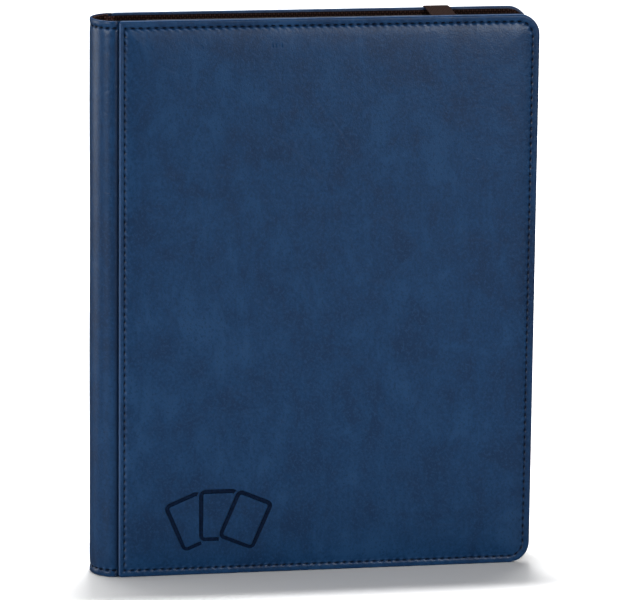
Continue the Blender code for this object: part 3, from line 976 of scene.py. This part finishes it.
def grid_slab(xs, zs, near, far, hole=None, kind=None):
    """Points, faces and kinds of a thin slab on a grid. near and far give the y of its two faces at a point.
    A cell where hole is true is left open. kind gives the place of a cell's material."""
    points, faces, kinds = [], [], []
    rows = len(zs)
    for face_y in (near, far):
        for x in xs:
            for z in zs:
                px, pz = rounded_fore(x, z)
                points.append((px, face_y(x, z), pz))
    layer = len(xs) * rows
    solid = {}
    for i in range(len(xs) - 1):
        for j in range(rows - 1):
            middle = ((xs[i] + xs[i + 1]) / 2, (zs[j] + zs[j + 1]) / 2)
            if not (hole and hole(*middle)):
                solid[i, j] = kind(*middle) if kind else 0
    for (i, j), cell_kind in solid.items():
        a, b = i * rows + j, (i + 1) * rows + j
        corners = (a, b, b + 1, a + 1)
        faces += [corners, tuple(layer + c for c in corners[::-1])]
        kinds += [cell_kind] * 2
        beside = ((i, j - 1, a, b), (i + 1, j, b, b + 1), (i, j + 1, b + 1, a + 1), (i - 1, j, a + 1, a))
        for ni, nj, c, d in beside:
            if (ni, nj) not in solid:
                faces.append((c, c + layer, d + layer, d))
                kinds.append(cell_kind)
    return points, faces, kinds


def corner_steps(end, sign=1):
    """The grid lines across a rounded corner, up to the leaf's edge."""
    return [end - sign * LEAF_CORNER * t for t in (1, 0.75, 0.5, 0.25, 0)]


def page_mesh(number):
    """A leaf's black backing sheet, from the binding tape to the fore edge."""
    y = leaf_y(number)
    xs = [bound_low.x + TAPE + TAPE_GAP]
    if number <= FRONT_LEAVES:
        hinge = JOINTS[f"{leaf_name(number)}_hinge"]["pos_m"][0]
        xs += spread(hinge - LEAF_BEND[0], hinge + LEAF_BEND[1], 14)
    xs += spread(xs[-1] + 6 * MM, LEAF_FORE - LEAF_CORNER, 8)[:-1] + corner_steps(LEAF_FORE)
    inner = spread(LEAF_Z0 + LEAF_CORNER, LEAF_Z1 - LEAF_CORNER, 8)[1:-1]
    zs = corner_steps(LEAF_Z0, -1)[::-1] + inner + corner_steps(LEAF_Z1)
    return grid_slab(xs, zs, lambda x, z: y - SHEET / 2, lambda x, z: y + SHEET / 2)


def pocket_cell(x, z):
    """Where a point is in its pocket, in millimetres from the pocket's lower corner at the binding side."""
    i = min(max(int((x - POCKETS_X) / COLUMN), 0), COLUMNS - 1)
    j = min(max(int((z - LEAF_Z0) / ROW), 0), ROWS - 1)
    return (x - POCKETS_X - i * COLUMN) / MM, (z - LEAF_Z0 - j * ROW) / MM


def film_mesh(number, side, fine):
    """A pocket film: welded round each pocket, slightly puffed over it and slit beside the binding."""
    y = leaf_y(number)

    def near(x, z):
        px, pz = pocket_cell(x, z)
        edge = min(px - WELD_X[0], WELD_X[1] - px, pz - WELD_Z[0], WELD_Z[1] - pz)
        lift = 0.02 + 0.17 * (1 - math.exp(-max(edge, 0) / 2.5))
        return y + side * (SHEET / 2 + lift * MM)

    def far(x, z):
        return near(x, z) + side * FILM_THICKNESS

    def hole(x, z):
        px, pz = pocket_cell(x, z)
        return fine and SLIT_X[0] < px < SLIT_X[1] and SLIT_Z[0] < pz < SLIT_Z[1]

    def kind(x, z):
        px, pz = pocket_cell(x, z)
        return 0 if WELD_X[0] < px < WELD_X[1] and WELD_Z[0] < pz < WELD_Z[1] else 1

    columns, rows = (FINE_X, FINE_Z) if fine else (COARSE_X, COARSE_Z)
    xs = [POCKETS_X + i * COLUMN + x * MM for i in range(COLUMNS) for x in columns] + [LEAF_FORE]
    zs = [LEAF_Z0 + j * ROW + z * MM for j in range(ROWS) for z in rows] + [LEAF_Z1]
    if fine:
        xs += corner_steps(LEAF_FORE)[:-1]
        zs += corner_steps(LEAF_Z0, -1)[:-1] + corner_steps(LEAF_Z1)[:-1]
    return grid_slab(sorted(xs), sorted(zs), near, far, hole, kind)


def joined(parts):
    """One mesh's points, faces and kinds from several, each with the place of its first material."""
    points, faces, kinds = [], [], []
    for (more_points, more_faces, more_kinds), first in parts:
        start = len(points)
        points += more_points
        faces += [tuple(start + i for i in face) for face in more_faces]
        kinds += [first + kind for kind in more_kinds]
    return points, faces, kinds


def build_leaves():
    """A leaf that turns is a sheet, cut finer about its hinge, with films that ride on the turning part. The
    others are one piece each, and only the first of them shows enough to need fine films."""
    for number in range(1, LEAF_COUNT + 1):
        name = leaf_name(number)
        page = page_mesh(number)
        if number > FRONT_LEAVES:
            fine = number == FRONT_LEAVES + 1
            films = [(film_mesh(number, side, fine), 1) for side in (-1, 1)]
            points, faces, kinds = joined([(page, 0), *films])
            leaf = sharpen(add_mesh(f"{name}_page", points, faces, [PAGE, FILM, WELD], kinds))
            place(leaf, [name], "back_cover")
            continue
        body = f"{name}_body"
        sheet = sharpen(add_mesh(f"{name}_page", *page[:2], [PAGE]))
        hinge = JOINTS[f"{name}_hinge"]["pos_m"]
        start, end = (hinge[0] - LEAF_BEND[0], hinge[1], 0), (hinge[0] + LEAF_BEND[1], hinge[1], 0)
        place(sheet, [f"{name}_sheet"], blend=("back_cover", body, start, end))
        points, faces, kinds = joined([(film_mesh(number, side, True), 0) for side in (-1, 1)])
        pockets = sharpen(add_mesh(f"{name}_pockets", points, faces, [FILM, WELD], kinds))
        place(pockets, [f"{name}_front_pockets", f"{name}_back_pockets"], body)


FLANGE_Y = (12.68 * MM, 12.92 * MM)


def build_binding():
    """The tape that holds the leaves at their inner edge, and its flange sewn to the back lining."""
    edge, face = bound_low.x, bound_low.x + TAPE
    low, high = FLANGE_Y
    outline = [(edge, bound_low.y), (face, bound_low.y), (face, low - 0.6 * MM), (face + 0.5 * MM, low)]
    outline += [(bound_high.x, low), (bound_high.x, high), (edge, high)]
    tape = sharpen(add_mesh("binding_tape", *upright(outline, bound_low.z, bound_high.z, 12), [BINDING]))
    place(tape, ["page_binding"], "back_cover")


# ---------------- elastic strap


STRAP_SKEW = (run_low.x + run_high.x) / 2 - STRAP_X
TAIL_Y, TAIL_LENGTH = 17.5 * MM, 5.2 * MM
STRAP_END_Y = 12.6 * MM
STRAP_RIBS = 12
STRAP_BEND = (6 * MM, 100 * MM)


def strap_path():
    """The strap's middle line as (y, z), from its sewn end at the top of the back cover, round the leaves, to
    its sewn end at the bottom."""
    over = run_high.z - STRAP_THICKNESS / 2
    under = run_low.z + STRAP_THICKNESS / 2
    front = run_low.y + STRAP_THICKNESS / 2
    round_leaves, bend = 1.25 * MM, 1.6 * MM
    top, bottom = LEAF_Z1 + 1.0 * MM, LEAF_Z0 - 1.0 * MM
    path = [(TAIL_Y, over - TAIL_LENGTH), (TAIL_Y, over - bend)]
    path += arc((TAIL_Y - bend, over - bend), bend, 0, 90, 8)[1:]
    path += [(STRAP_END_Y, over)]
    path += arc((front + round_leaves, top - round_leaves), round_leaves, 75, 180, 8)
    path += arc((front + round_leaves, bottom + round_leaves), round_leaves, 180, 285, 8)
    path += [(STRAP_END_Y, under), (TAIL_Y - bend, under)]
    path += arc((TAIL_Y - bend, under + bend), bend, -90, 0, 8)[1:]
    return finer([*path, (TAIL_Y, under + TAIL_LENGTH)], 2.0 * MM)


def strap_band(name, path):
    """A length of flat knitted elastic with cords along it and rolled edges."""
    across = []
    for share in spread(0, 1, STRAP_RIBS * 4):
        t = 2 * share - 1
        rib = 0.04 * math.cos(2 * math.pi * STRAP_RIBS * share)
        edge = 0.45 * math.exp(-(1 - abs(t)) * STRAP_WIDTH / 2 / (0.28 * MM))
        across.append((t * STRAP_WIDTH / 2, (0.5 + rib - edge) * STRAP_THICKNESS))
    outline = across + [(x, -off) for x, off in across[::-1]]
    rows = []
    for k, (y, z) in enumerate(path):
        along = direction(path, k)
        lean = min(max((STRAP_END_Y - y) / (STRAP_END_Y - run_low.y), 0), 1)
        middle = STRAP_X + STRAP_SKEW * lean
        rows.append([(middle + x, y + along.y * off, z - along.x * off) for x, off in outline])
    return add_mesh(name, *loft(rows), [ELASTIC])


def build_strap():
    """The strap in two lengths that meet half way up, each passed to place with the back cover and the strap
    as the bodies of a blend."""
    path = strap_path()
    half = next(k for k, (_, z) in enumerate(path) if z < HEIGHT / 2)
    near, far = STRAP_BEND
    for word, length, ends in (
        ("top", path[: half + 1], (HEIGHT - near, HEIGHT - far)),
        ("bottom", path[half:], (near, far)),
    ):
        band = strap_band(f"elastic_strap_{word}", length)
        start, end = ((STRAP_X, 0, z) for z in ends)
        replaced = ["elastic_strap", f"strap_{word}_tail"]
        place(band, replaced, blend=("back_cover", "strap", start, end))


# ---------------- main


LEATHERETTE = leatherette_material()
PRESSED = leatherette_material("pressed_leatherette", pressed=True)
THREAD = thread_material()
LINING = woven_material("brown_black_lining", (0.0040, 0.0016, 0.0014), (0.042, 0.022, 0.018), 1.3 * MM)
BINDING = woven_material("binding_cloth", (0.0045, 0.0035, 0.0035), (0.022, 0.017, 0.016), 0.8 * MM, "yz")
ELASTIC = elastic_material()
PAGE = page_material()
FILM = film_material("clear_film", 0.14, 0.30)
WELD = film_material("film_weld", 0.60, 0.42)
BOARD = board_material()
FOAM = foam_material()
CARRIED_OVER = {"board": BOARD, "stiffener": BOARD, "foam_pad": FOAM}


def build_covers():
    runs, marks = seam_layout()
    for word, side, seed, body in (("front", -1, 1.0, "front_cover"), ("back", 1, 5.0, "back_cover")):
        leather = cover_leather(f"{word}_cover_leather", side, seed, marks)
        if side < 0:
            press_card_fan(leather, side)
        place(leather, [f"{word}_panel_leather"], body)
        stitches = cover_stitches(f"{word}_cover_stitches", side, runs)
        place(stitches, [f"{word}_seam_thread"], body)
        lining = cover_lining(f"{word}_lining_cloth", side)
        place(lining, [f"{word}_lining"], body)


def build_spine():
    leather, middles = spine_leather()
    place(leather, ["spine_leather"], "spine")
    for word, z in (("top", HEIGHT - SEAM_INSET), ("bottom", SEAM_INSET)):
        row = spine_stitches(f"spine_{word}_stitches", middles, z)
        place(row, [f"spine_{word}_thread"], "spine")
    place(spine_lining(), ["spine_lining"], "spine")
    for word, side in (("front", -1), ("back", 1)):
        path = crease_path(CREASE_LEATHER, side)
        ends = CREASE_INSET, HEIGHT - CREASE_INSET
        strip = ribbon(f"{word}_crease_leather", path, CREASE_THICKNESS, *ends, LEATHERETTE)
        # Painted shade over the whole crease strip, so that the gutter between spine and cover reads dark.
        keep_painted_light(strip, [CREASE_SHADE] * len(strip.data.vertices))
        place(strip, [], blend=crease_blend(side, -1.3, 0.7))
        path = crease_path(HINGE_CLOTH + (FRONT_CLOTH_END if side < 0 else []), side)
        low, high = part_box(f"{word}_hinge_strip")
        cloth = ribbon(f"{word}_hinge_cloth", path, CLOTH_THICKNESS, low.z, high.z, LINING)
        bend = crease_blend(side, -3.0, 2.0 if side < 0 else 0.9)
        place(cloth, [f"{word}_hinge_strip"], blend=bend)


def dress_carried_over():
    """The CAD nodes that stay in view as they are get their finish in their own slots."""
    for name, node in frame["nodes"].items():
        for ending, material in CARRIED_OVER.items():
            if name.endswith(ending):
                for slot in node.material_slots:
                    slot.material = material


add_camera()
add_lights()
add_floor()
build_covers()
build_spine()
build_binding()
build_leaves()
build_strap()
dress_carried_over()
